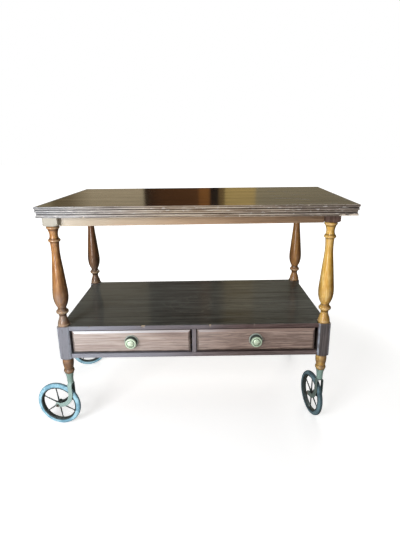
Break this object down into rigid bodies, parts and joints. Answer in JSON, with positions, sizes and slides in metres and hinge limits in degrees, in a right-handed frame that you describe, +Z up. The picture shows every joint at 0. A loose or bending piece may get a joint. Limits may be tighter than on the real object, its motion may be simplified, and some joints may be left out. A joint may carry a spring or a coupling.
{
  "type": "tea trolley",
  "caption": "Two-tier tea trolley with a swivelling fold-over top, shallow drawers under the shelf, turned legs and spoked swivel casters.",
  "frame": {"origin": "on the floor under the middle of the whole bounding box with the casters as built; the middle of the leg frame is 20.5 mm to the right of it and 29 mm towards the drawer side", "axes": "+X to the right along the trolley, +Y away from the drawer side, +Z up"},
  "size_m": [0.9833, 0.5862, 0.711],
  "materials": {
    "top_wood": "dark brown polished wood",
    "turned_wood": "honey brown varnished turned wood",
    "frame_wood": "worn tan varnished wood",
    "shelf_wood": "dark stained wood with a soft sheen",
    "drawer_wood": "reddish brown stained wood",
    "pale_wood": "bare pale wood",
    "brass": "brass with a grey-green patina",
    "wheel_metal": "dull plated wire wheel",
    "steel": "plain steel",
    "tyre": "aged blue-grey rubber"
  },
  "bodies": {
    "frame": {"front_left_leg": "turned_wood", "front_right_leg": "turned_wood", "rear_left_leg": "turned_wood", "rear_right_leg": "turned_wood", "front_left_ferrule": "brass", "front_right_ferrule": "brass", "rear_left_ferrule": "brass", "rear_right_ferrule": "brass", "front_apron": "frame_wood", "back_apron": "frame_wood", "left_apron": "frame_wood", "right_apron": "frame_wood", "pivot_rail": "frame_wood", "shelf_board": "shelf_wood", "left_side_panel": "shelf_wood", "right_side_panel": "shelf_wood", "back_panel": "shelf_wood", "bottom_rail": "shelf_wood", "centre_divider": "shelf_wood", "drawer_runners": "pale_wood", "drawer_guides": "pale_wood"},
    "top": {"lower_leaf": "top_wood", "lower_hinge_plates": "brass", "hinge_pins": "brass", "swivel_plate": "steel", "swivel_washer": "steel", "swivel_nut": "steel"},
    "fold_leaf": {"upper_leaf": "top_wood", "upper_hinge_plates": "brass"},
    "left_drawer": {"left_drawer_front": "drawer_wood", "left_drawer_sides": "pale_wood", "left_drawer_back": "pale_wood", "left_drawer_bottom": "pale_wood", "left_knob_backplate": "brass", "left_knob": "brass", "left_knob_screw": "steel"},
    "right_drawer": {"right_drawer_front": "drawer_wood", "right_drawer_sides": "pale_wood", "right_drawer_back": "pale_wood", "right_drawer_bottom": "pale_wood", "right_knob_backplate": "brass", "right_knob": "brass", "right_knob_screw": "steel"},
    "front_left_caster": {"front_left_fork": "brass", "front_left_axle": "steel"},
    "front_left_roller": {"front_left_wheel": "wheel_metal", "front_left_tyre": "tyre"},
    "front_right_caster": {"front_right_fork": "brass", "front_right_axle": "steel"},
    "front_right_roller": {"front_right_wheel": "wheel_metal", "front_right_tyre": "tyre"},
    "rear_left_caster": {"rear_left_fork": "brass", "rear_left_axle": "steel"},
    "rear_left_roller": {"rear_left_wheel": "wheel_metal", "rear_left_tyre": "tyre"},
    "rear_right_caster": {"rear_right_fork": "brass", "rear_right_axle": "steel"},
    "rear_right_roller": {"rear_right_wheel": "wheel_metal", "rear_right_tyre": "tyre"}
  },
  "joints": [
    {"name": "top_swivel", "type": "hinge", "parent": "frame", "child": "top", "pos_m": [-0.0895, 0.105, 0.6803], "axis": [0, 0, 1], "range_deg": [-87.53, 2.47]},
    {"name": "leaf_hinge", "type": "hinge", "parent": "top", "child": "fold_leaf", "pos_m": [0.0494, 0.21667, 0.69565], "axis": [-0.9991, 0.0431, 0], "range_deg": [0, 180]},
    {"name": "left_drawer_slide", "type": "slide", "parent": "frame", "child": "left_drawer", "axis": [0, -1, 0], "range_m": [0, 0.25]},
    {"name": "right_drawer_slide", "type": "slide", "parent": "frame", "child": "right_drawer", "axis": [0, -1, 0], "range_m": [0, 0.25]},
    {"name": "front_left_swivel", "type": "hinge", "parent": "frame", "child": "front_left_caster", "pos_m": [-0.3735, -0.233, 0.156], "axis": [0, 0, 1], "continuous": true},
    {"name": "front_left_spin", "type": "hinge", "parent": "front_left_caster", "child": "front_left_roller", "pos_m": [-0.41979, -0.22484, 0.0725], "axis": [-0.1736, -0.9848, 0], "continuous": true},
    {"name": "front_right_swivel", "type": "hinge", "parent": "frame", "child": "front_right_caster", "pos_m": [0.4145, -0.233, 0.156], "axis": [0, 0, 1], "continuous": true},
    {"name": "front_right_spin", "type": "hinge", "parent": "front_right_caster", "child": "front_right_roller", "pos_m": [0.40634, -0.18671, 0.0725], "axis": [-0.9848, -0.1736, 0], "continuous": true},
    {"name": "rear_left_swivel", "type": "hinge", "parent": "frame", "child": "rear_left_caster", "pos_m": [-0.3735, 0.175, 0.156], "axis": [0, 0, 1], "continuous": true},
    {"name": "rear_left_spin", "type": "hinge", "parent": "rear_left_caster", "child": "rear_left_roller", "pos_m": [-0.4161, 0.15514, 0.0725], "axis": [0.4226, -0.9063, 0], "continuous": true},
    {"name": "rear_right_swivel", "type": "hinge", "parent": "frame", "child": "rear_right_caster", "pos_m": [0.4145, 0.175, 0.156], "axis": [0, 0, 1], "continuous": true},
    {"name": "rear_right_spin", "type": "hinge", "parent": "rear_right_caster", "child": "rear_right_roller", "pos_m": [0.42266, 0.22129, 0.0725], "axis": [-0.9848, 0.1736, 0], "continuous": true}
  ]
}
